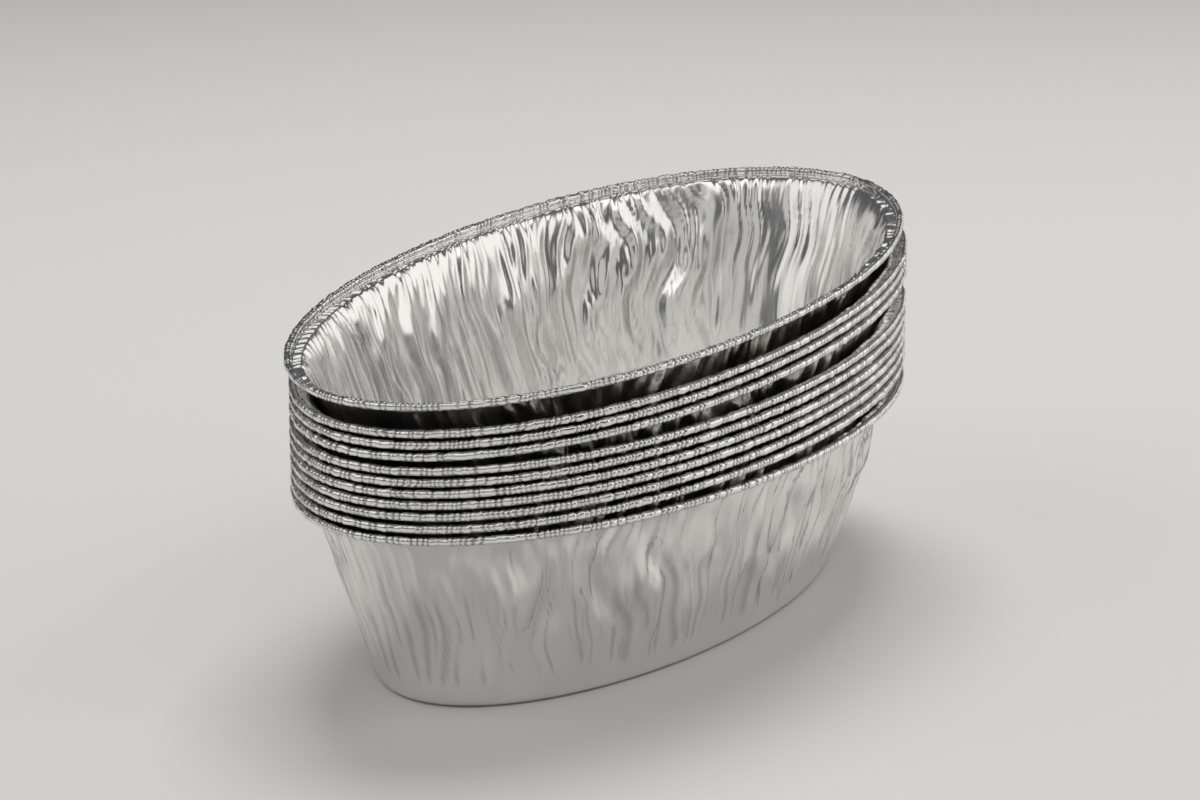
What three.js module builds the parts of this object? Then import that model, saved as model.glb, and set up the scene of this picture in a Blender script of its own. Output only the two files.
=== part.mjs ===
// A nest of oval foil loaf pans, the kind a braided loaf is baked in.
//
// Each pan is one sheet of pressed aluminium foil: a flat oval floor, a wall that leans outward,
// a flat ledge, and an edge rolled into an open curl that stiffens the rim.
// The pans sit one inside the other, rim on rim at the near end, and fan out towards the far end.
//
// Millimetres, +Z up. The origin is the middle of the underside of the bottom pan's floor.
// +X runs along the oval towards the far end, where the rims stand furthest apart.

import * as THREE from 'three';

// Driving dimensions of one pan
const PAN_LENGTH = 253;       // over the rolled rim
const PAN_WIDTH = 134;        // over the rolled rim
const PAN_HEIGHT = 56;        // underside of the floor to the top of the rim
const FLOOR_LENGTH = 198.5;   // corner to corner of floor and wall
const FLOOR_WIDTH = 92.5;
const FOIL_THICKNESS = 0.12;
const CURL_DIAMETER = 2.75;   // over the rolled edge
const LEDGE_WIDTH = 4;        // from the wall's top corner to the curl
const LEDGE_DROP = 2.5;       // the ledge below the top of the curl
const FLOOR_BEND = 2.4;       // length taken off each side of the corner by its bend
const LEDGE_BEND = 1.8;
const AROUND = 32;            // facets around the oval

// How the pans lie in the nest
const NEST_CLEARANCE = 0.3;   // between pieces that rest on each other
// Each further pan's rise above its seat on the curl below it, at the near and the far end.
// The last pan has caught on the wall below and stands clear of the curl.
const RISES = [
  [0.2, 3.5],
  [0.2, 0.9],
  [0, 0.8],
  [0, 0],
  [0, 0.9],
  [0, 0.5],
  [0.6, 7.3],
  [0, 0.7],
  [0, 0.1],
  [4, 4.9],
];

const FOIL_COLOUR = '#b7b5b0';
const FOIL_ROUGHNESS = 0.3;

// Sizes worked out from the driving ones
const CURL_RADIUS = (CURL_DIAMETER - FOIL_THICKNESS) / 2;    // to the middle of the foil
const CURL_CENTRE_HEIGHT = PAN_HEIGHT - CURL_DIAMETER / 2;
const LEDGE_HEIGHT = PAN_HEIGHT - LEDGE_DROP - FOIL_THICKNESS / 2;
const FLOOR_HEIGHT = FOIL_THICKNESS / 2;
const WALL_INSET = CURL_DIAMETER + LEDGE_WIDTH;              // wall's top corner in from the rim
const CURL_HALF_LENGTH = (PAN_LENGTH - CURL_DIAMETER) / 2;   // to the curl's centre
const SEAT_PITCH = CURL_DIAMETER + NEST_CLEARANCE;

// A point of the pan's profile: half the oval's length and half its width there, and the height.
function profilePoint(halfLength, halfWidth, height) {
  return { halfLength, halfWidth, height };
}

// A point at the given distance from one point towards another.
function stepTowards(from, to, distance) {
  const run = meanRadius(to) - meanRadius(from);
  const share = distance / Math.hypot(run, to.height - from.height);
  return profilePoint(
    THREE.MathUtils.lerp(from.halfLength, to.halfLength, share),
    THREE.MathUtils.lerp(from.halfWidth, to.halfWidth, share),
    THREE.MathUtils.lerp(from.height, to.height, share),
  );
}

function meanRadius(point) {
  return (point.halfLength + point.halfWidth) / 2;
}

// The rolled edge, from where the ledge meets it, up, over and down to its open underside.
function curlPoints() {
  const top = Math.PI / 2;
  const underside = -Math.PI / 2;
  const ledgeAngle = Math.PI - Math.asin((LEDGE_HEIGHT - CURL_CENTRE_HEIGHT) / CURL_RADIUS);
  const innerSteps = 2;
  const outerSteps = 4;
  const angles = [];
  for (let i = 0; i < innerSteps; i += 1) {
    angles.push(THREE.MathUtils.lerp(ledgeAngle, top, i / innerSteps));
  }
  for (let i = 0; i <= outerSteps; i += 1) {
    angles.push(THREE.MathUtils.lerp(top, underside, i / outerSteps));
  }
  return angles.map((angle) => {
    const outward = CURL_RADIUS * Math.cos(angle) - CURL_DIAMETER / 2;
    return profilePoint(
      PAN_LENGTH / 2 + outward,
      PAN_WIDTH / 2 + outward,
      CURL_CENTRE_HEIGHT + CURL_RADIUS * Math.sin(angle),
    );
  });
}

// The middle of the foil, from the centre of the floor to the end of the curl.
function foilMidline() {
  const centre = profilePoint(0, 0, FLOOR_HEIGHT);
  const floorCorner = profilePoint(FLOOR_LENGTH / 2, FLOOR_WIDTH / 2, FLOOR_HEIGHT);
  const wallTop = profilePoint(PAN_LENGTH / 2 - WALL_INSET, PAN_WIDTH / 2 - WALL_INSET, LEDGE_HEIGHT);
  const curl = curlPoints();
  return [
    centre,
    profilePoint(FLOOR_LENGTH / 2 - FLOOR_BEND, FLOOR_WIDTH / 2 - FLOOR_BEND, FLOOR_HEIGHT),
    stepTowards(floorCorner, wallTop, FLOOR_BEND),
    stepTowards(wallTop, floorCorner, LEDGE_BEND),
    stepTowards(wallTop, curl[0], LEDGE_BEND),
    ...curl,
  ];
}

// Moves a profile sideways by a distance, to the left of the way it runs.
function offsetProfile(points, distance) {
  const directions = points.slice(1).map((point, i) => new THREE.Vector2(
    meanRadius(point) - meanRadius(points[i]),
    point.height - points[i].height,
  ).normalize());
  return points.map((point, i) => {
    const before = directions[Math.max(i - 1, 0)];
    const after = directions[Math.min(i, directions.length - 1)];
    const along = before.clone().add(after).normalize();
    const reach = distance / along.dot(after);
    const outward = i === 0 ? 0 : -along.y * reach;
    return profilePoint(point.halfLength + outward, point.halfWidth + outward, point.height + along.x * reach);
  });
}

// The wall's facets are slightly twisted, so the inside's quads from firstBand on are split along the
// same diagonal as the outside's. That keeps the foil's thickness even.
function matchDiagonals(geometry, bands, firstBand) {
  const index = geometry.getIndex();
  const cornersPerQuad = 6;
  for (let first = 0; first < index.count; first += cornersPerQuad) {
    const band = (first / cornersPerQuad) % bands;
    if (band >= firstBand) {
      const [a, b, d, c] = [0, 1, 2, 3].map((corner) => index.getX(first + corner));
      [a, b, c, a, c, d].forEach((vertex, corner) => index.setX(first + corner, vertex));
    }
  }
}

// One pan, standing on the XY plane: the foil's outline turned around the axis, then made oval.
function panGeometry() {
  const midline = foilMidline();
  const outside = offsetProfile(midline, -FOIL_THICKNESS / 2);
  const inside = offsetProfile(midline, FOIL_THICKNESS / 2).reverse();
  const profile = [...outside, ...inside];
  const outline = profile.map((point) => new THREE.Vector2(meanRadius(point), point.height));
  const geometry = new THREE.LatheGeometry(outline, AROUND);
  matchDiagonals(geometry, profile.length - 1, outside.length);
  geometry.rotateX(Math.PI / 2);
  geometry.rotateZ(Math.PI / 2);
  const position = geometry.getAttribute('position');
  for (let i = 0; i < position.count; i += 1) {
    const point = profile[i % profile.length];
    const radius = meanRadius(point);
    if (radius > 0) {
      position.setX(i, position.getX(i) * point.halfLength / radius);
      position.setY(i, position.getY(i) * point.halfWidth / radius);
    }
  }
  geometry.computeVertexNormals();
  return geometry;
}

function foilMaterial() {
  return new THREE.MeshStandardMaterial({
    color: FOIL_COLOUR,
    roughness: FOIL_ROUGHNESS,
    metalness: 1,
  });
}

// How far a pan held up by this rise can lean sideways before its wall rests on the wall below.
function sidewaysLean(rise) {
  const wallRun = PAN_WIDTH / 2 - WALL_INSET - FLOOR_WIDTH / 2;
  const slope = wallRun / (LEDGE_HEIGHT - FLOOR_HEIGHT);
  const acrossWall = Math.hypot(1, slope);
  return (SEAT_PITCH + rise) * slope - (FOIL_THICKNESS + NEST_CLEARANCE) * acrossWall;
}

// Hangs a pan from the middle of its rim, tilted so that its near and far ends have these heights.
function placedPan(name, nearHeight, farHeight, lean) {
  const mesh = new THREE.Mesh(panGeometry(), foilMaterial());
  mesh.name = name;
  mesh.position.z = -CURL_CENTRE_HEIGHT;
  const rim = new THREE.Group();
  rim.position.set(0, lean, (nearHeight + farHeight) / 2);
  rim.rotation.y = -Math.asin((farHeight - nearHeight) / (2 * CURL_HALF_LENGTH));
  rim.add(mesh);
  return rim;
}

function nestOfPans() {
  const nest = new THREE.Group();
  let near = CURL_CENTRE_HEIGHT;
  let far = CURL_CENTRE_HEIGHT;
  nest.add(placedPan('pan_01', near, far, 0));
  RISES.forEach(([nearRise, farRise], i) => {
    near += SEAT_PITCH + nearRise;
    far += SEAT_PITCH + farRise;
    const restsOnWall = nearRise > CURL_DIAMETER;
    const lean = restsOnWall ? sidewaysLean(nearRise) : 0;
    nest.add(placedPan(`pan_${String(i + 2).padStart(2, '0')}`, near, far, lean));
  });
  return nest;
}

export default nestOfPans();
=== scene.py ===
# %% [markdown]
# # A nest of oval foil loaf pans
# Each pan is one sheet of thin aluminium foil, pressed into an oval tray with a rolled rim.
# Pressing gathers the foil, so its wall is full of pleats and its rim is crossed by fine creases.
# The frame holds the smooth pans at their real size and place. This lesson dresses them:
# one smooth blank is built ring by ring, every pan is copied from it, and the wrinkles are pressed in.

# %% Load the frame
import math
import bpy
import numpy as np
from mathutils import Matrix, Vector
from types import SimpleNamespace


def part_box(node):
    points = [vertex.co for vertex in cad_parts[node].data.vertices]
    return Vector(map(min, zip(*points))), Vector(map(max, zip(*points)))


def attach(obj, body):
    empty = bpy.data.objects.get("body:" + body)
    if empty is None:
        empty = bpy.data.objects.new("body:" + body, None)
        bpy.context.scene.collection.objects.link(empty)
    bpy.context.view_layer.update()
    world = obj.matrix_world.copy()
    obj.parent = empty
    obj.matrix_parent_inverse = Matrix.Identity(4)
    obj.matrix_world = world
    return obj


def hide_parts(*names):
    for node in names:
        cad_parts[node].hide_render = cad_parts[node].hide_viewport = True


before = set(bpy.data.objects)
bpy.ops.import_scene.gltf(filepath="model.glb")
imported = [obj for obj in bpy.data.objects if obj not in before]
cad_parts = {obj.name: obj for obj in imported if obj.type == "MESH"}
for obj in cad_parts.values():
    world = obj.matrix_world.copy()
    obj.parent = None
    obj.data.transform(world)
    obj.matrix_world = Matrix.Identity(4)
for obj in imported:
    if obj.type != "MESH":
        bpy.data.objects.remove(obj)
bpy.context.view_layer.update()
scene = bpy.context.scene
pan_names = sorted(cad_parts)
print("pans in the frame:", len(pan_names))

# %% [markdown]
# ## Camera
# A long lens from about a metre away keeps the oval calm: the near and the far end hardly differ in scale.
# The camera is placed by its angle around the nest, its height angle and its distance to a point in
# the middle of the nest, because those are the numbers that one would turn by hand on a tripod.

# %% Camera
CAMERA_AZIMUTH = math.radians(-58.06)
CAMERA_ELEVATION = math.radians(15.75)
CAMERA_DISTANCE = 1.0179
CAMERA_TARGET = Vector((-0.0020, 0.0036, 0.0608))
CAMERA_LENS_MM = 106.66
CAMERA_SENSOR_MM = 36
CAMERA_NEAR_LIMIT = 0.01

camera = bpy.data.objects.new("camera", bpy.data.cameras.new("camera"))
scene.collection.objects.link(camera)
camera_back = Vector((
    math.sin(CAMERA_AZIMUTH) * math.cos(CAMERA_ELEVATION),
    -math.cos(CAMERA_AZIMUTH) * math.cos(CAMERA_ELEVATION),
    math.sin(CAMERA_ELEVATION),
))
camera.location = CAMERA_TARGET + CAMERA_DISTANCE * camera_back
camera.rotation_euler = camera_back.to_track_quat("Z", "Y").to_euler()
camera.data.lens = CAMERA_LENS_MM
camera.data.sensor_width = CAMERA_SENSOR_MM
camera.data.clip_start = CAMERA_NEAR_LIMIT
scene.camera = camera
print("camera at", [round(value, 3) for value in camera.location])

# %% [markdown]
# ## Floor and light
# Foil is a mirror that has been crumpled, so it shows whatever stands around it. Two big soft lamps stand
# on the left and on the right, where the inner walls mirror them, and the room between them is dim: a
# crease then turns from a lamp to the dark and shows. Smaller lamps in front, high up and behind light the
# rolled rims and the arcs on the ledge. One more lamp is for the plain pale floor alone, so it is left out
# of the foil's reflections. The nest's own shadow falls forward and keeps its outer wall calm.

# %% Floor and light
FLOOR_HALF_SIZE = 6.0
FLOOR_COLOUR = (0.72, 0.72, 0.71, 1)
FLOOR_ROUGHNESS = 0.7
ROOM_COLOUR = (0.09, 0.093, 0.1, 1)
LAMP_COLOUR = (1, 0.975, 0.94)


def plain_material(name, colour, roughness):
    material = bpy.data.materials.new(name)
    material.use_nodes = True
    shader = material.node_tree.nodes["Principled BSDF"]
    shader.inputs["Base Color"].default_value = colour
    shader.inputs["Roughness"].default_value = roughness
    return material


def soft_lamp(name, azimuth, elevation, distance, size, watts):
    level = distance * math.cos(math.radians(elevation))
    away = Vector((
        level * math.cos(math.radians(azimuth)),
        level * math.sin(math.radians(azimuth)),
        distance * math.sin(math.radians(elevation)),
    ))
    lamp = bpy.data.objects.new(name, bpy.data.lights.new(name, "AREA"))
    scene.collection.objects.link(lamp)
    lamp.location = CAMERA_TARGET + away
    lamp.rotation_euler = away.to_track_quat("Z", "Y").to_euler()
    lamp.data.shape = "RECTANGLE"
    lamp.data.size, lamp.data.size_y = size
    lamp.data.energy = watts
    lamp.data.color = LAMP_COLOUR
    lamp.visible_camera = False
    return lamp


bpy.ops.object.select_all(action="DESELECT")
bpy.ops.mesh.primitive_plane_add(size=2 * FLOOR_HALF_SIZE)
floor = bpy.context.object
floor.name = "floor"
floor.data.materials.append(plain_material("pale_floor", FLOOR_COLOUR, FLOOR_ROUGHNESS))

soft_lamp("left_lamp", azimuth=142, elevation=38, distance=1.3, size=(1.7, 1.2), watts=5.6)
soft_lamp("right_lamp", azimuth=318, elevation=17, distance=1.3, size=(1.9, 0.85), watts=5.2)
soft_lamp("front_lamp", azimuth=226, elevation=24, distance=1.5, size=(1.3, 0.8), watts=1.6)
soft_lamp("high_lamp", azimuth=250, elevation=56, distance=1.5, size=(1.9, 0.6), watts=4.4)
soft_lamp("back_lamp", azimuth=30, elevation=62, distance=1.6, size=(0.9, 0.9), watts=2.4)
floor_lamp = soft_lamp("floor_lamp", azimuth=30, elevation=66, distance=1.6, size=(0.9, 0.9), watts=14.0)
floor_lamp.visible_glossy = False

world = bpy.data.worlds.new("dim_room")
world.use_nodes = True
world.node_tree.nodes["Background"].inputs["Color"].default_value = ROOM_COLOUR
scene.world = world
scene.view_settings.view_transform = "Standard"

# %% [markdown]
# ## The profile of a pan
# Cut across the middle, a pan is a single line: flat floor, bend, leaning wall, bend, flat ledge, and
# an edge rolled into an open curl. The wall flares a little before it bends into the ledge, and the curl
# is a little squarer than a circle, as rolled foil is. The line is kept as a list of rings, each with
# half its length, half its width and its height, because the wall leans more at the ends of the oval
# than on its long sides. The outer sizes are measured on the bottom pan of the frame, so the blank
# always fits it. A place on the foil is told by its climb: how far it is from the middle of the floor,
# measured along the line.

# %% The profile of a pan
FOIL_THICKNESS = 0.00012
FLOOR_LENGTH = 0.1985
FLOOR_WIDTH = 0.0925
FLOOR_HEIGHT = 0.000075  # of the middle of the foil
CURL_DIAMETER = 0.00275
LEDGE_WIDTH = 0.004
LEDGE_DROP = 0.0025
FLOOR_BEND = 0.0024
LEDGE_BEND = 0.0018
WALL_FLARE = 0.014
CURL_END = math.radians(-90)
CURL_SQUARENESS = 0.8
FLOOR_RING_SHARES = (0.3, 0.85)
BEND_RINGS = 4
FLARE_RINGS = 10
LEDGE_RINGS = 3
CURL_RINGS = 10

low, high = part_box("pan_01")
pan_length, pan_width, pan_height = (high[axis] - low[axis] for axis in range(3))
rim = np.array([pan_length / 2, pan_width / 2])
curl_radius = (CURL_DIAMETER - FOIL_THICKNESS) / 2
curl_height = pan_height - CURL_DIAMETER / 2
ledge_height = pan_height - LEDGE_DROP - FOIL_THICKNESS / 2


def ring(half_sizes, height):
    return np.array([half_sizes[0], half_sizes[1], height])


def along(start, end, distance):
    step = end - start
    return start + step * distance / math.hypot(step[:2].mean(), step[2])


def rounded(start, corner, end, steps):
    shares = np.linspace(0, 1, steps + 1)
    return [(1 - t) ** 2 * start + 2 * t * (1 - t) * corner + t ** 2 * end for t in shares]


def straight(start, end, steps):
    return list(np.linspace(start, end, steps + 1)[1:-1])


def squared(share):
    return math.copysign(abs(share) ** CURL_SQUARENESS, share)


def curl_rings():
    start = math.pi - math.asin((ledge_height - curl_height) / curl_radius)
    rings = []
    for angle in np.linspace(start, CURL_END, CURL_RINGS):
        outward = curl_radius * squared(math.cos(angle)) - CURL_DIAMETER / 2
        rings.append(ring(rim + outward, curl_height + curl_radius * squared(math.sin(angle))))
    return rings


def pan_profile(wall_rings):
    floor_corner = ring((FLOOR_LENGTH / 2, FLOOR_WIDTH / 2), FLOOR_HEIGHT)
    wall_top = ring(rim - CURL_DIAMETER - LEDGE_WIDTH, ledge_height)
    outward = np.array([1, 1, 0])
    floor_edge = floor_corner - FLOOR_BEND * outward
    wall_start = along(floor_corner, wall_top, FLOOR_BEND)
    wall_end = along(wall_top, floor_corner, WALL_FLARE)
    ledge_edge = wall_top + LEDGE_BEND * outward
    curl = curl_rings()
    rings = [floor_edge * np.array([share, share, 1]) for share in FLOOR_RING_SHARES]
    rings += rounded(floor_edge, floor_corner, wall_start, BEND_RINGS)
    rings += straight(wall_start, wall_end, wall_rings)
    rings += rounded(wall_end, wall_top, ledge_edge, FLARE_RINGS)
    rings += straight(ledge_edge, curl[0], LEDGE_RINGS)
    return np.array(rings + curl)


def climb_along(profile):
    steps = np.diff(np.column_stack([profile[:, :2].mean(axis=1), profile[:, 2]]), axis=0)
    return np.concatenate([[0], np.cumsum(np.hypot(steps[:, 0], steps[:, 1]))])


single_wall = climb_along(pan_profile(1))
first_bend_ring = len(FLOOR_RING_SHARES)
foot_ring = first_bend_ring + BEND_RINGS
ledge_ring = foot_ring + 1 + FLARE_RINGS
FLOOR_EDGE, FOOT, LEDGE = single_wall[[first_bend_ring, foot_ring, ledge_ring]]
HEAD = LEDGE - 2 * LEDGE_BEND
CURL, EDGE = single_wall[[-CURL_RINGS, -1]]
print("foil from the middle to the edge, mm:", round(EDGE * 1000, 1))
print("wall from foot to head, mm:", round((HEAD - FOOT) * 1000, 1))

# %% [markdown]
# ## The smooth blank
# A circle with a fan of triangles closes the middle of the floor. Its edge is then extruded ring after
# ring, and each new ring is scaled and lifted to its place in the profile, the way one would draw up a
# bowl by hand. The creases of the rim are the narrowest thing on a pan, so the open edge is
# subdivided before the curl is drawn.

# %% The smooth blank
AROUND = 820
RIM_SPLITS = 1
WALL_RINGS = 15
SORTING_POINTS = (Vector((0.31, 0.17, 0.07)), Vector((-0.23, 0.29, 0.11)))


def select_open_edge():
    bpy.ops.mesh.select_all(action="DESELECT")
    bpy.ops.mesh.select_non_manifold(extend=False)


# Extruding leaves the faces in an order that changes from run to run. Sorting them by their distance
# from odd points gives them one order, so that every run makes the same nest.
def sort_faces():
    for point in SORTING_POINTS:
        scene.cursor.location = point
        bpy.ops.mesh.sort_elements(type="CURSOR_DISTANCE", elements={"FACE"})
    scene.cursor.location = (0, 0, 0)


def drawn_up(profile):
    bpy.ops.object.select_all(action="DESELECT")
    bpy.ops.mesh.primitive_circle_add(vertices=AROUND, radius=1, fill_type="TRIFAN")
    bpy.ops.object.mode_set(mode="EDIT")
    bpy.ops.mesh.select_mode(type="EDGE")
    bpy.ops.mesh.select_all(action="SELECT")
    first = profile[0]
    bpy.ops.transform.resize(value=(first[0], first[1], 1), center_override=(0, 0, 0))
    bpy.ops.transform.translate(value=(0, 0, first[2]))
    select_open_edge()
    for number in range(1, len(profile)):
        before, after = profile[number - 1], profile[number]
        if number == len(profile) - CURL_RINGS:
            bpy.ops.mesh.subdivide(number_cuts=RIM_SPLITS)
            select_open_edge()
        bpy.ops.mesh.extrude_region_move()
        stretch = (after[0] / before[0], after[1] / before[1], 1)
        bpy.ops.transform.resize(value=stretch, center_override=(0, 0, 0))
        bpy.ops.transform.translate(value=(0, 0, after[2] - before[2]))
    bpy.ops.mesh.select_all(action="SELECT")
    bpy.ops.mesh.normals_make_consistent(inside=True)
    sort_faces()
    bpy.ops.object.mode_set(mode="OBJECT")
    return bpy.context.object


blank_profile = pan_profile(WALL_RINGS)
drawn_blank = drawn_up(blank_profile)
print("blank drawn up in", len(blank_profile), "rings,", len(drawn_blank.data.vertices), "points")

# %% [markdown]
# ## Where each point lies on the foil
# Pleats run up the wall and creases run across the rim, so a wrinkle is described on the unrolled foil:
# a turn around the oval, even in length, and a climb along the profile. Every point of the blank gets both.
# An oval stretched from a circle has its points crowded at the ends, so they are also spread evenly here.
# The turn and climb go into an attribute, so that the finish can follow the foil in the same way.

# %% Where each point lies on the foil
OVAL_STEPS = 4001


def read_points(mesh, field):
    values = np.empty(len(mesh.vertices) * 3)
    mesh.vertices.foreach_get(field, values)
    return values.reshape(-1, 3)


def ring_of_each_point():
    rings = len(blank_profile)
    plain_rings = rings - CURL_RINGS
    plain = np.repeat(np.arange(plain_rings), AROUND)
    split = np.full(AROUND * RIM_SPLITS, plain_rings - 1)
    curl = np.repeat(np.arange(plain_rings, rings), AROUND * (RIM_SPLITS + 1))
    return np.concatenate([[0], plain, split, curl])


def even_oval():
    half_length, half_width = rim - CURL_DIAMETER - LEDGE_WIDTH
    angles = np.linspace(-math.pi, math.pi, OVAL_STEPS)
    pace = np.hypot(half_length * np.sin(angles), half_width * np.cos(angles))
    travelled = np.concatenate([[0], np.cumsum((pace[1:] + pace[:-1]) / 2)])
    return 2 * math.pi * travelled / travelled[-1], angles, travelled[-1] * (angles[1] - angles[0])


even_turns, oval_angles, girth = even_oval()
roll_radius = girth / (2 * math.pi)


def spread_evenly(drawn):
    mesh = drawn.data
    points = read_points(mesh, "co")
    ring_of_point = ring_of_each_point()
    half_sizes = blank_profile[ring_of_point, :2]
    turn = np.arctan2(points[:, 1] / half_sizes[:, 1], points[:, 0] / half_sizes[:, 0]) + math.pi
    angle = np.interp(turn, even_turns, oval_angles)
    misplaced = np.abs(points[:, 2] - blank_profile[ring_of_point, 2]).max()
    print("furthest point from its ring, m:", round(misplaced, 7))
    points[1:, :2] = half_sizes[1:] * np.column_stack([np.cos(angle), np.sin(angle)])[1:]
    mesh.vertices.foreach_set("co", points.ravel())
    mesh.update()
    climb = climb_along(blank_profile)[ring_of_point]
    flow = mesh.attributes.new("foil_flow", "FLOAT_VECTOR", "POINT")
    places = np.column_stack([roll_radius * np.cos(turn), roll_radius * np.sin(turn), climb])
    flow.data.foreach_set("vector", places.ravel())
    wall = drawn.vertex_groups.new(name="wall")
    wall.add(np.flatnonzero((climb > FLOOR_EDGE) & (climb < HEAD)).tolist(), 1, "REPLACE")
    normals = read_points(mesh, "normal")
    return SimpleNamespace(object=drawn, points=points, normals=normals, turn=turn, climb=climb)


blank = spread_evenly(drawn_blank)
print("unrolled, the foil is", round(girth * 1000), "by", round(EDGE * 1000), "mm")

# %% [markdown]
# ## Wrinkle shapes
# Four shapes are enough for foil. A swell is smooth noise. A facet is the same noise joined by straight
# lines, which gives flat bands that meet in sharp folds. A vein is the line where a swell crosses zero:
# such lines wander, meet and part as creases do. A groove is a narrow pinch between two facets.
# All of them live on the unrolled foil, so they are stretched along the pleat by a tall cell, and they
# close up after one full turn. A wrinkle says how many cells it has around the oval and how tall they are.
# A vein adds the band of its swell that counts as the line, and a groove its width and how often it comes.

# %% Wrinkle shapes
SPARE_ROWS = 3


def eased(share):
    return share * share * (3 - 2 * share)


# A low pan can ask for rows below the first one. They count back from the end, so there are twice as many.
def lattice_rows(climb, wrinkle, seed):
    row = climb / wrinkle.tall
    under = np.floor(row).astype(int)
    rows = int(2 * EDGE / wrinkle.tall) + SPARE_ROWS
    lattice = np.random.default_rng(seed).uniform(-1, 1, (rows, wrinkle.cells))
    return lattice, under, eased(row - under)


def woven(turn, climb, wrinkle, seed, soft):
    lattice, under, up = lattice_rows(climb, wrinkle, seed)
    column = turn / (2 * math.pi) * wrinkle.cells
    left = np.floor(column).astype(int)
    across = column - left
    if soft:
        across = eased(across)
    left, right = left % wrinkle.cells, (left + 1) % wrinkle.cells
    below = lattice[under, left] * (1 - across) + lattice[under, right] * across
    above = lattice[under + 1, left] * (1 - across) + lattice[under + 1, right] * across
    return below * (1 - up) + above * up


def swells(turn, climb, wrinkle, seed):
    return woven(turn, climb, wrinkle, seed, soft=True)


def facets(turn, climb, wrinkle, seed):
    return woven(turn, climb, wrinkle, seed, soft=False)


def veins(turn, climb, wrinkle, seed):
    return 1 - np.minimum(np.abs(swells(turn, climb, wrinkle, seed)) / wrinkle.band, 1)


def grooves(turn, climb, wrinkle, seed):
    lattice, under, up = lattice_rows(climb, wrinkle, seed)
    column = turn / (2 * math.pi) * wrinkle.cells
    fold = np.rint(column).astype(int)
    aside = np.abs(column - fold) * girth / wrinkle.cells
    fold = fold % wrinkle.cells
    depth = lattice[under, fold] * (1 - up) + lattice[under + 1, fold] * up
    return np.clip(wrinkle.often + depth, 0, 1) * np.clip(1 - aside / wrinkle.width, 0, 1)


def by_stops(places, stops):
    known_places, values = zip(*stops)
    return np.interp(places, known_places, values)


ripple = SimpleNamespace(cells=100, tall=0.02)
ripples = swells(blank.turn, blank.climb, ripple, seed=0)
print("a swell runs from", round(ripples.min(), 2), "to", round(ripples.max(), 2))

# %% [markdown]
# ## Pleats and creases
# Pressing gathers the foil most at the rim. So the wall has narrow flat pleats at its top, which break up
# halfway down and run out in furrows and broad soft waves, and a smooth band above the floor. On the long
# sides the pleats are deep and sway, at the ends they are shallow and straight. A few of them run on over the
# bend as thin arcs on the flat ledge. Where the sheet is creased hardest, painted shade is noted for the
# finish.
# The rim's creases have another seed on each pan, and only press inwards, so that no pan grows.
# The stops give places on the foil, or along the oval from its near end (-1) to its far end (1), and how
# strong a wrinkle is there. All lengths are in metres.

# %% Pleats and creases
SWAY = SimpleNamespace(cells=26, tall=0.018, least=0.0004, depth=0.0030)
SHIVER = SimpleNamespace(cells=60, tall=0.010, share=0.5)
RAGGED = SimpleNamespace(cells=90, tall=0.030, depth=0.0018)
BROAD = SimpleNamespace(cells=112, tall=0.022, depth=0.00100)
MIDDLE = SimpleNamespace(cells=136, tall=0.020, depth=0.00075)
GATHER = SimpleNamespace(cells=280, tall=0.012, depth=0.00065)
BRANCH = SimpleNamespace(cells=130, tall=0.024, depth=0.00045, band=0.30, painted_shade=0.35)
THREAD = SimpleNamespace(cells=220, tall=0.030, depth=0.00028, band=0.30)
ARC = SimpleNamespace(cells=160, tall=0.024, depth=0.00100, width=0.0009, often=0.7)
KNOT = SimpleNamespace(cells=44, tall=0.012, gain=2)
CRUMPLE = SimpleNamespace(cells=140, tall=0.0075, depth=0.00060)
LINE = SimpleNamespace(cells=150, tall=0.020, depth=0.00020, width=0.0009, often=0.35, painted_shade=0.6)
FURROW = SimpleNamespace(cells=124, tall=0.017, depth=0.00045, width=0.0021, often=0.55, painted_shade=0.55)
SLANT = SimpleNamespace(cells=110, tall=0.004, depth=0.0012)
DENT = SimpleNamespace(cells=150, tall=0.012, depth=0.00006)
NICK = SimpleNamespace(cells=620, tall=0.0018, depth=0.00019)
CRIMP = SimpleNamespace(cells=440, tall=0.030, depth=0.00036, width=0.0006, often=0.85)
SAG = SimpleNamespace(cells=9, tall=1.0)
CURL_SHOULDER = 0.0012
WALL_SEED = 11


def up_wall(share):
    return FOOT + share * (HEAD - FOOT)


def on_ledge(share):
    return LEDGE + share * (CURL - LEDGE)


LEFT_STRENGTH = ((-1, 0.25), (-0.92, 0.3), (-0.6, 0.9), (0.2, 1), (0.5, 1.5), (0.86, 1.5), (0.95, 0.6),
                 (1, 0.35))
RIGHT_STRENGTH = ((-1, 0.25), (-0.97, 0.6), (-0.85, 1.2), (0.85, 1.3), (0.95, 0.6), (1, 0.35))
LINE_STOPS = ((up_wall(0.05), 0), (up_wall(0.2), 1), (HEAD, 1), (LEDGE, 0))
FURROW_STOPS = ((up_wall(0.04), 0), (up_wall(0.14), 1), (up_wall(0.6), 1), (up_wall(0.85), 0.2), (HEAD, 0))
BROAD_STOPS = ((up_wall(0.03), 0), (up_wall(0.12), 1), (up_wall(0.5), 1), (up_wall(0.9), 0.3), (LEDGE, 0))
MIDDLE_STOPS = ((up_wall(0.05), 0), (up_wall(0.18), 0.8), (up_wall(0.5), 1), (HEAD, 0.6), (on_ledge(0.5), 0))
GATHER_STOPS = ((up_wall(0.2), 0), (up_wall(0.45), 0.4), (up_wall(0.65), 1), (up_wall(0.95), 1), (HEAD, 0.7),
                (LEDGE, 0.25), (on_ledge(0.8), 0))
ARC_STOPS = ((up_wall(0.3), 0), (up_wall(0.6), 0.5), (HEAD, 0.6), (LEDGE, 1), (on_ledge(0.4), 1), (CURL, 0))
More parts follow.
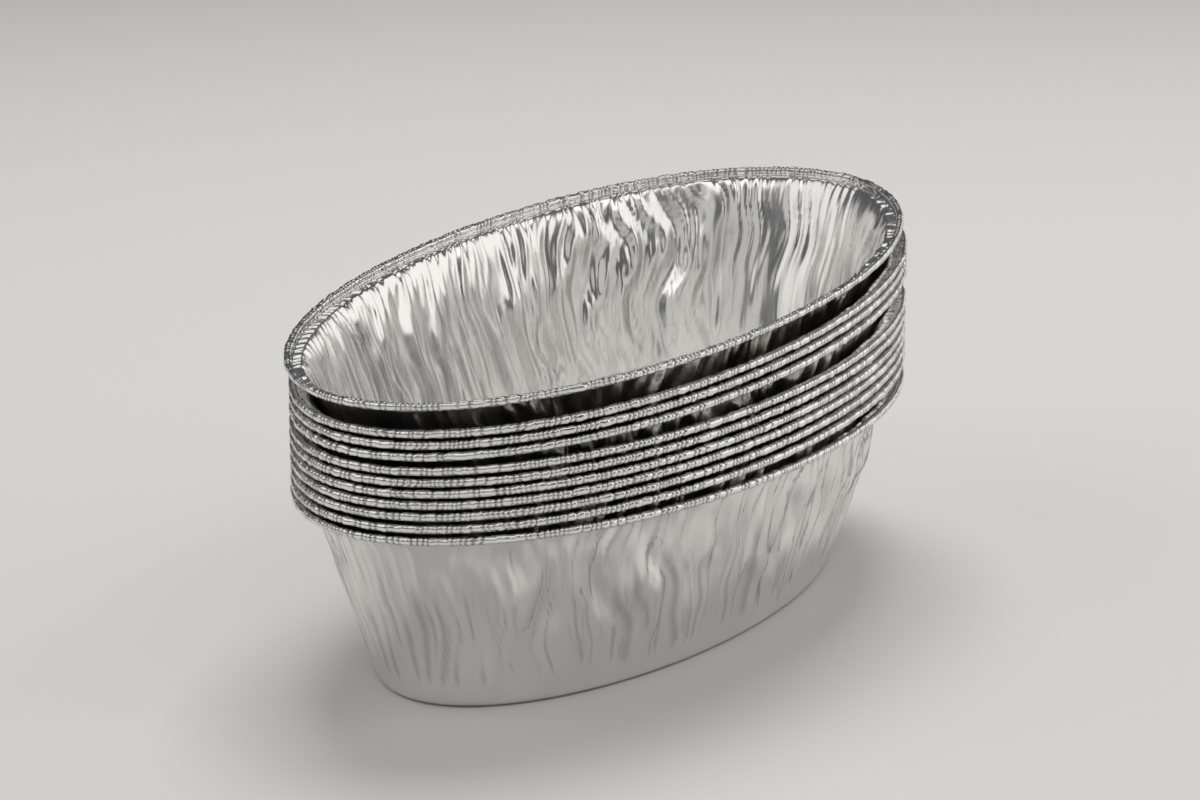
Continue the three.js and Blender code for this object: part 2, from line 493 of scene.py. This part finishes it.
CRUMPLE_STOPS = ((up_wall(0.15), 0), (up_wall(0.3), 1), (up_wall(0.8), 1), (up_wall(0.97), 0))
RIM_STOPS = ((on_ledge(0.4), 0), (on_ledge(0.9), 0.5), (CURL + CURL_SHOULDER, 1), (EDGE, 1))


def wall_pleats(turn, climb, level, seed):
    angle = np.interp(turn % (2 * math.pi), even_turns, oval_angles)
    on_left, on_right = (by_stops(np.cos(angle), stops) for stops in (LEFT_STRENGTH, RIGHT_STRENGTH))
    strength = np.where(np.sin(angle) > 0, on_left, on_right)
    sway = swells(turn, level, SWAY, seed) + SHIVER.share * swells(turn, level, SHIVER, seed + 1)
    bent = turn + (SWAY.least + SWAY.depth * strength) / roll_radius * sway
    ragged = bent + RAGGED.depth / roll_radius * swells(bent, level, RAGGED, seed + 2)
    low_wall, mid_wall, top_wall, ledge, knotted, lined, furrowed = (
        by_stops(climb, stops) for stops in
        (BROAD_STOPS, MIDDLE_STOPS, GATHER_STOPS, ARC_STOPS, CRUMPLE_STOPS, LINE_STOPS, FURROW_STOPS))
    broad = BROAD.depth * swells(bent, level, BROAD, seed + 3) * low_wall
    middle = MIDDLE.depth * facets(ragged, level, MIDDLE, seed + 4) * mid_wall
    gather = GATHER.depth * facets(ragged, level, GATHER, seed + 5) * top_wall
    branch = veins(bent, level, BRANCH, seed + 6) * mid_wall
    thread = veins(bent, level, THREAD, seed + 7) * top_wall
    arcs = grooves(ragged, level, ARC, seed + 8) * ledge
    knots = np.clip(KNOT.gain * swells(turn, level, KNOT, seed + 9), 0, 1)
    crumple = CRUMPLE.depth * facets(turn, level, CRUMPLE, seed + 10) * knots * knotted
    lines = grooves(bent, level, LINE, seed + 11) * lined
    furrows = grooves(ragged, level, FURROW, seed + 12) * furrowed
    folds = strength * (broad + middle + gather + crumple - BRANCH.depth * branch - FURROW.depth * furrows)
    # Painted shade: the veins, lines and furrows are darkened in the finish as if shade fell in them.
    painted_shades = [BRANCH.painted_shade * branch, LINE.painted_shade * lines, FURROW.painted_shade * furrows]
    painted_shade = np.maximum.reduce(painted_shades) * (climb < HEAD)
    return folds + THREAD.depth * thread + LINE.depth * lines - ARC.depth * arcs, painted_shade


def rim_creases(seed):
    turn, climb = blank.turn, blank.climb
    slant = turn + SLANT.depth / roll_radius * swells(turn, climb, SLANT, seed)
    dents = DENT.depth * (1 + swells(turn, climb, DENT, seed + 1))
    nicks = NICK.depth * (1 + facets(slant, climb, NICK, seed + 2))
    crimps = grooves(slant, climb, CRIMP, seed + 3)
    on_rim = by_stops(climb, RIM_STOPS)
    # The crimps are also returned as painted shade, which darkens the colour in their grooves.
    return (dents + nicks + CRIMP.depth * crimps) * on_rim, crimps * on_rim


def rim_sag(seed, drop):
    around = swells(blank.turn, 0 * blank.climb, SAG, seed)
    raised = np.clip((blank.climb - FOOT) / (EDGE - FOOT), 0, 1)
    return -drop * (1 + around) / 2 * raised ** 2


top_pleats, _ = wall_pleats(blank.turn, blank.climb, blank.climb, WALL_SEED)
print("pleats, mm:", round(top_pleats.min() * 1000, 2), "to", round(top_pleats.max() * 1000, 2))

# %% [markdown]
# ## The foil
# Bright household foil is clean aluminium: a metal with a pale warm grey, smooth between its folds.
# What makes it read as foil is the small scale: hair-fine creases that run along the pleats and across
# the rim, a faint grain from the rolling mill, and dull patches where it was handled. The colour is darkened
# in the sharpest creases and furrows as painted shade. All of it is procedural and follows the foil's own
# flow.

# %% The foil
PATCHES_PER_METRE = 38
PATCH_DETAIL = 4
PATCH_RANGE = (0.35, 0.7)
ROUGHNESS_RANGE = (0.17, 0.28)
DULL_METAL = (0.80, 0.79, 0.775, 1)
BRIGHT_METAL = (0.90, 0.89, 0.875, 1)
# Painted shade in the creases: from this mark on, the foil's colour is darkened down to the shaded tone.
SHADE_START = 0.2
UNSHADED_TONE = (1, 1, 1, 1)
PAINTED_SHADE_TONE = (0.3, 0.3, 0.31, 1)
HAIRLINES_PER_METRE = 520
HAIRLINE_DETAIL = 3
HAIRLINE_DISTORTION = 0.3
HAIRLINE_STRETCH = (1, 1, 0.09)
HAIRLINE_STRENGTHS = (0.35, 0.9)  # up to the ledge, and on the curl
HAIRLINE_DEPTH = 0.00012
GRAIN_PER_METRE = 2600
GRAIN_DETAIL = 2
GRAIN_STRETCH = (0.02, 1, 1)
GRAIN_STRENGTH = 0.12
GRAIN_DEPTH = 0.00002


def ramp(nodes, stops):
    node = nodes.new("ShaderNodeValToRGB")
    elements = node.color_ramp.elements
    for element, (position, colour) in zip(elements, stops):
        element.position, element.color = position, colour
    return node


def map_range(nodes, from_range, to_range):
    node = nodes.new("ShaderNodeMapRange")
    node.inputs["From Min"].default_value, node.inputs["From Max"].default_value = from_range
    node.inputs["To Min"].default_value, node.inputs["To Max"].default_value = to_range
    return node


def noise(nodes, scale, detail):
    node = nodes.new("ShaderNodeTexNoise")
    node.inputs["Scale"].default_value = scale
    node.inputs["Detail"].default_value = detail
    return node


def attribute(nodes, name):
    node = nodes.new("ShaderNodeAttribute")
    node.attribute_name = name
    return node


def stretched(nodes, link, source, scale):
    node = nodes.new("ShaderNodeMapping")
    node.inputs["Scale"].default_value = scale
    link(source, node.inputs["Vector"])
    return node.outputs["Vector"]


def dull_patches(nodes, link, place):
    patches = noise(nodes, PATCHES_PER_METRE, PATCH_DETAIL)
    link(place, patches.inputs["Vector"])
    roughness = map_range(nodes, PATCH_RANGE, ROUGHNESS_RANGE)
    link(patches.outputs["Fac"], roughness.inputs["Value"])
    tone = ramp(nodes, ((0, DULL_METAL), (1, BRIGHT_METAL)))
    link(patches.outputs["Fac"], tone.inputs["Fac"])
    return roughness.outputs["Result"], tone.outputs["Color"]


# Paints shade into the creases by darkening the foil's colour where the crease mark is high.
def painted_fold_shade(nodes, link, tone):
    painted_shade = attribute(nodes, "painted_crease_shade")
    shade = ramp(nodes, ((SHADE_START, UNSHADED_TONE), (1, PAINTED_SHADE_TONE)))
    link(painted_shade.outputs["Fac"], shade.inputs["Fac"])
    shaded_tone = nodes.new("ShaderNodeMix")
    shaded_tone.data_type = "RGBA"
    shaded_tone.blend_type = "MULTIPLY"
    shaded_tone.inputs["Factor"].default_value = 1
    link(tone, shaded_tone.inputs["A"])
    link(shade.outputs["Color"], shaded_tone.inputs["B"])
    return shaded_tone.outputs["Result"]


def hairline_creases(nodes, link, flow):
    hairline = noise(nodes, HAIRLINES_PER_METRE, HAIRLINE_DETAIL)
    hairline.noise_type = "RIDGED_MULTIFRACTAL"
    hairline.inputs["Distortion"].default_value = HAIRLINE_DISTORTION
    link(stretched(nodes, link, flow, HAIRLINE_STRETCH), hairline.inputs["Vector"])
    along_foil = nodes.new("ShaderNodeSeparateXYZ")
    link(flow, along_foil.inputs["Vector"])
    strength = map_range(nodes, (LEDGE, CURL), HAIRLINE_STRENGTHS)
    link(along_foil.outputs["Z"], strength.inputs["Value"])
    bump = nodes.new("ShaderNodeBump")
    bump.inputs["Distance"].default_value = HAIRLINE_DEPTH
    link(strength.outputs["Result"], bump.inputs["Strength"])
    link(hairline.outputs["Fac"], bump.inputs["Height"])
    return bump.outputs["Normal"]


def mill_grain(nodes, link, place, creased):
    grain = noise(nodes, GRAIN_PER_METRE, GRAIN_DETAIL)
    link(stretched(nodes, link, place, GRAIN_STRETCH), grain.inputs["Vector"])
    bump = nodes.new("ShaderNodeBump")
    bump.inputs["Strength"].default_value = GRAIN_STRENGTH
    bump.inputs["Distance"].default_value = GRAIN_DEPTH
    link(grain.outputs["Fac"], bump.inputs["Height"])
    link(creased, bump.inputs["Normal"])
    return bump.outputs["Normal"]


def foil_material():
    material = bpy.data.materials.new("bright_foil")
    material.use_nodes = True
    nodes = material.node_tree.nodes
    link = material.node_tree.links.new
    shader = nodes["Principled BSDF"]
    shader.inputs["Metallic"].default_value = 1
    place = nodes.new("ShaderNodeTexCoord").outputs["Object"]
    flow = attribute(nodes, "foil_flow").outputs["Vector"]
    roughness, tone = dull_patches(nodes, link, place)
    link(roughness, shader.inputs["Roughness"])
    link(painted_fold_shade(nodes, link, tone), shader.inputs["Base Color"])
    creased = hairline_creases(nodes, link, flow)
    link(mill_grain(nodes, link, place, creased), shader.inputs["Normal"])
    return material


foil = foil_material()
print("foil finish:", len(foil.node_tree.nodes), "nodes")

# %% [markdown]
# ## Where each pan lies
# The frame gives every pan its place and its tilt, which are read from the two ends of the frame's own rim.
# Pans that lie in a nest press their pleats into each other, so the pleats of a pan are looked up where
# its points lie as seen from the top pan: at that turn around its wall, and at that level on its foil.

# %% Where each pan lies
floor_half_sizes = np.array([FLOOR_LENGTH / 2, FLOOR_WIDTH / 2])
wall_slopes = (rim - CURL_DIAMETER - LEDGE_WIDTH - floor_half_sizes) / (ledge_height - FLOOR_HEIGHT)
climb_per_height = math.hypot(1, wall_slopes.mean())


def rim_ends(name):
    points = read_points(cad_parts[name].data, "co")
    return points[points[:, 0].argmin()], points[points[:, 0].argmax()]


def seat(name):
    near, far = rim_ends(name)
    tilt = math.atan2(far[2] - near[2], far[0] - near[0])
    up = np.array([-math.sin(tilt), 0, math.cos(tilt)])
    axes = np.array([[math.cos(tilt), 0, math.sin(tilt)], [0, 1, 0], up])
    return SimpleNamespace(tilt=tilt, axes=axes, origin=(near + far) / 2 - curl_height * up)


def seen_from(points, own_seat, other_seat):
    in_nest = points @ own_seat.axes + own_seat.origin
    return (in_nest - other_seat.origin) @ other_seat.axes.T


def wall_angle(points):
    half_sizes = floor_half_sizes + wall_slopes * (points[:, 2:] - FLOOR_HEIGHT)
    return np.arctan2(points[:, 1] / half_sizes[:, 1], points[:, 0] / half_sizes[:, 0])


def pleats_in_nest(name):
    from_top = seen_from(blank.points, seat(name), seat(pan_names[-1]))
    turns = [np.interp(wall_angle(points), oval_angles, even_turns) for points in (blank.points, from_top)]
    turn = blank.turn + (turns[1] - turns[0] + math.pi) % (2 * math.pi) - math.pi
    level = blank.climb + climb_per_height * (from_top[:, 2] - blank.points[:, 2])
    return wall_pleats(turn, blank.climb, level, WALL_SEED)


print("wall slopes:", wall_slopes.round(3), "climb per height:", round(climb_per_height, 3))
print("tilts, degrees:", [round(math.degrees(seat(name).tilt), 1) for name in pan_names])

# %% [markdown]
# ## The nest
# Every pan is a copy of the blank with its own mesh. Its wrinkles are pressed in, and it is tilted into its
# place. A Shrinkwrap modifier keeps its wall off the pan below, and a Solidify modifier makes the sheet as
# thick as the real foil.

# %% The nest
TOP_RIM_SAG = 0.0007
NESTED_RIM_SAG = 0.0001
WALL_GAP = 0.0005
YIELD_PASSES = 2
RIM_SEED_STEP = 100
FIRST_SAG_SEED = 50


def press(pan, name, number, sag):
    widest = int(np.argmax(blank.points[:, 0]))
    inward = -math.copysign(1, blank.normals[widest, 0])
    pleats, wall_shade = pleats_in_nest(name)
    rim_depth, rim_shade = rim_creases(RIM_SEED_STEP * number)
    points = blank.points + inward * blank.normals * (rim_depth - pleats)[:, None]
    points[:, 2] += rim_sag(FIRST_SAG_SEED + number, sag)
    pan.data.vertices.foreach_set("co", points.ravel())
    # The painted shade of the creases and crimps is stored for the finish.
    painted_shade = pan.data.attributes.new("painted_crease_shade", "FLOAT", "POINT")
    painted_shade.data.foreach_set("value", np.maximum(wall_shade, rim_shade))
    pan.data.update()


def apply_modifier(pan, kind, **settings):
    modifier = pan.modifiers.new(kind.lower(), kind)
    for setting, value in settings.items():
        setattr(modifier, setting, value)
    bpy.ops.object.modifier_apply(modifier=modifier.name)


def copy_of(source, name):
    twin = source.copy()
    twin.data = source.data.copy()
    twin.name = name
    scene.collection.objects.link(twin)
    bpy.ops.object.select_all(action="DESELECT")
    twin.select_set(True)
    bpy.context.view_layer.objects.active = twin
    return twin


def pressed_sheet(name, number, sag, sheet_below):
    sheet = copy_of(blank.object, name + "_sheet")
    press(sheet, name, number, sag)
    place = seat(name)
    sheet.rotation_euler.y = -place.tilt
    sheet.location = place.origin
    bpy.ops.object.transform_apply(location=True, rotation=True, scale=True)
    if sheet_below:
        for _ in range(YIELD_PASSES):
            apply_modifier(sheet, "SHRINKWRAP", target=sheet_below, wrap_mode="INSIDE", offset=WALL_GAP,
                           vertex_group="wall")
    return sheet


def dressed_pan(name, sheet):
    pan = copy_of(sheet, name + "_foil")
    pan.data.materials.append(foil)
    bpy.ops.object.shade_smooth()
    apply_modifier(pan, "SOLIDIFY", thickness=FOIL_THICKNESS, offset=0)
    return pan


sheets = [None]
for number, name in enumerate(pan_names):
    sag = TOP_RIM_SAG if name == pan_names[-1] else NESTED_RIM_SAG
    sheets.append(pressed_sheet(name, number, sag, sheets[-1]))
    pan = dressed_pan(name, sheets[-1])
    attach(pan, name)
    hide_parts(name)
    print(pan.name, "has", len(pan.data.polygons), "faces")
for helper in [blank.object] + sheets[1:]:
    bpy.data.objects.remove(helper)
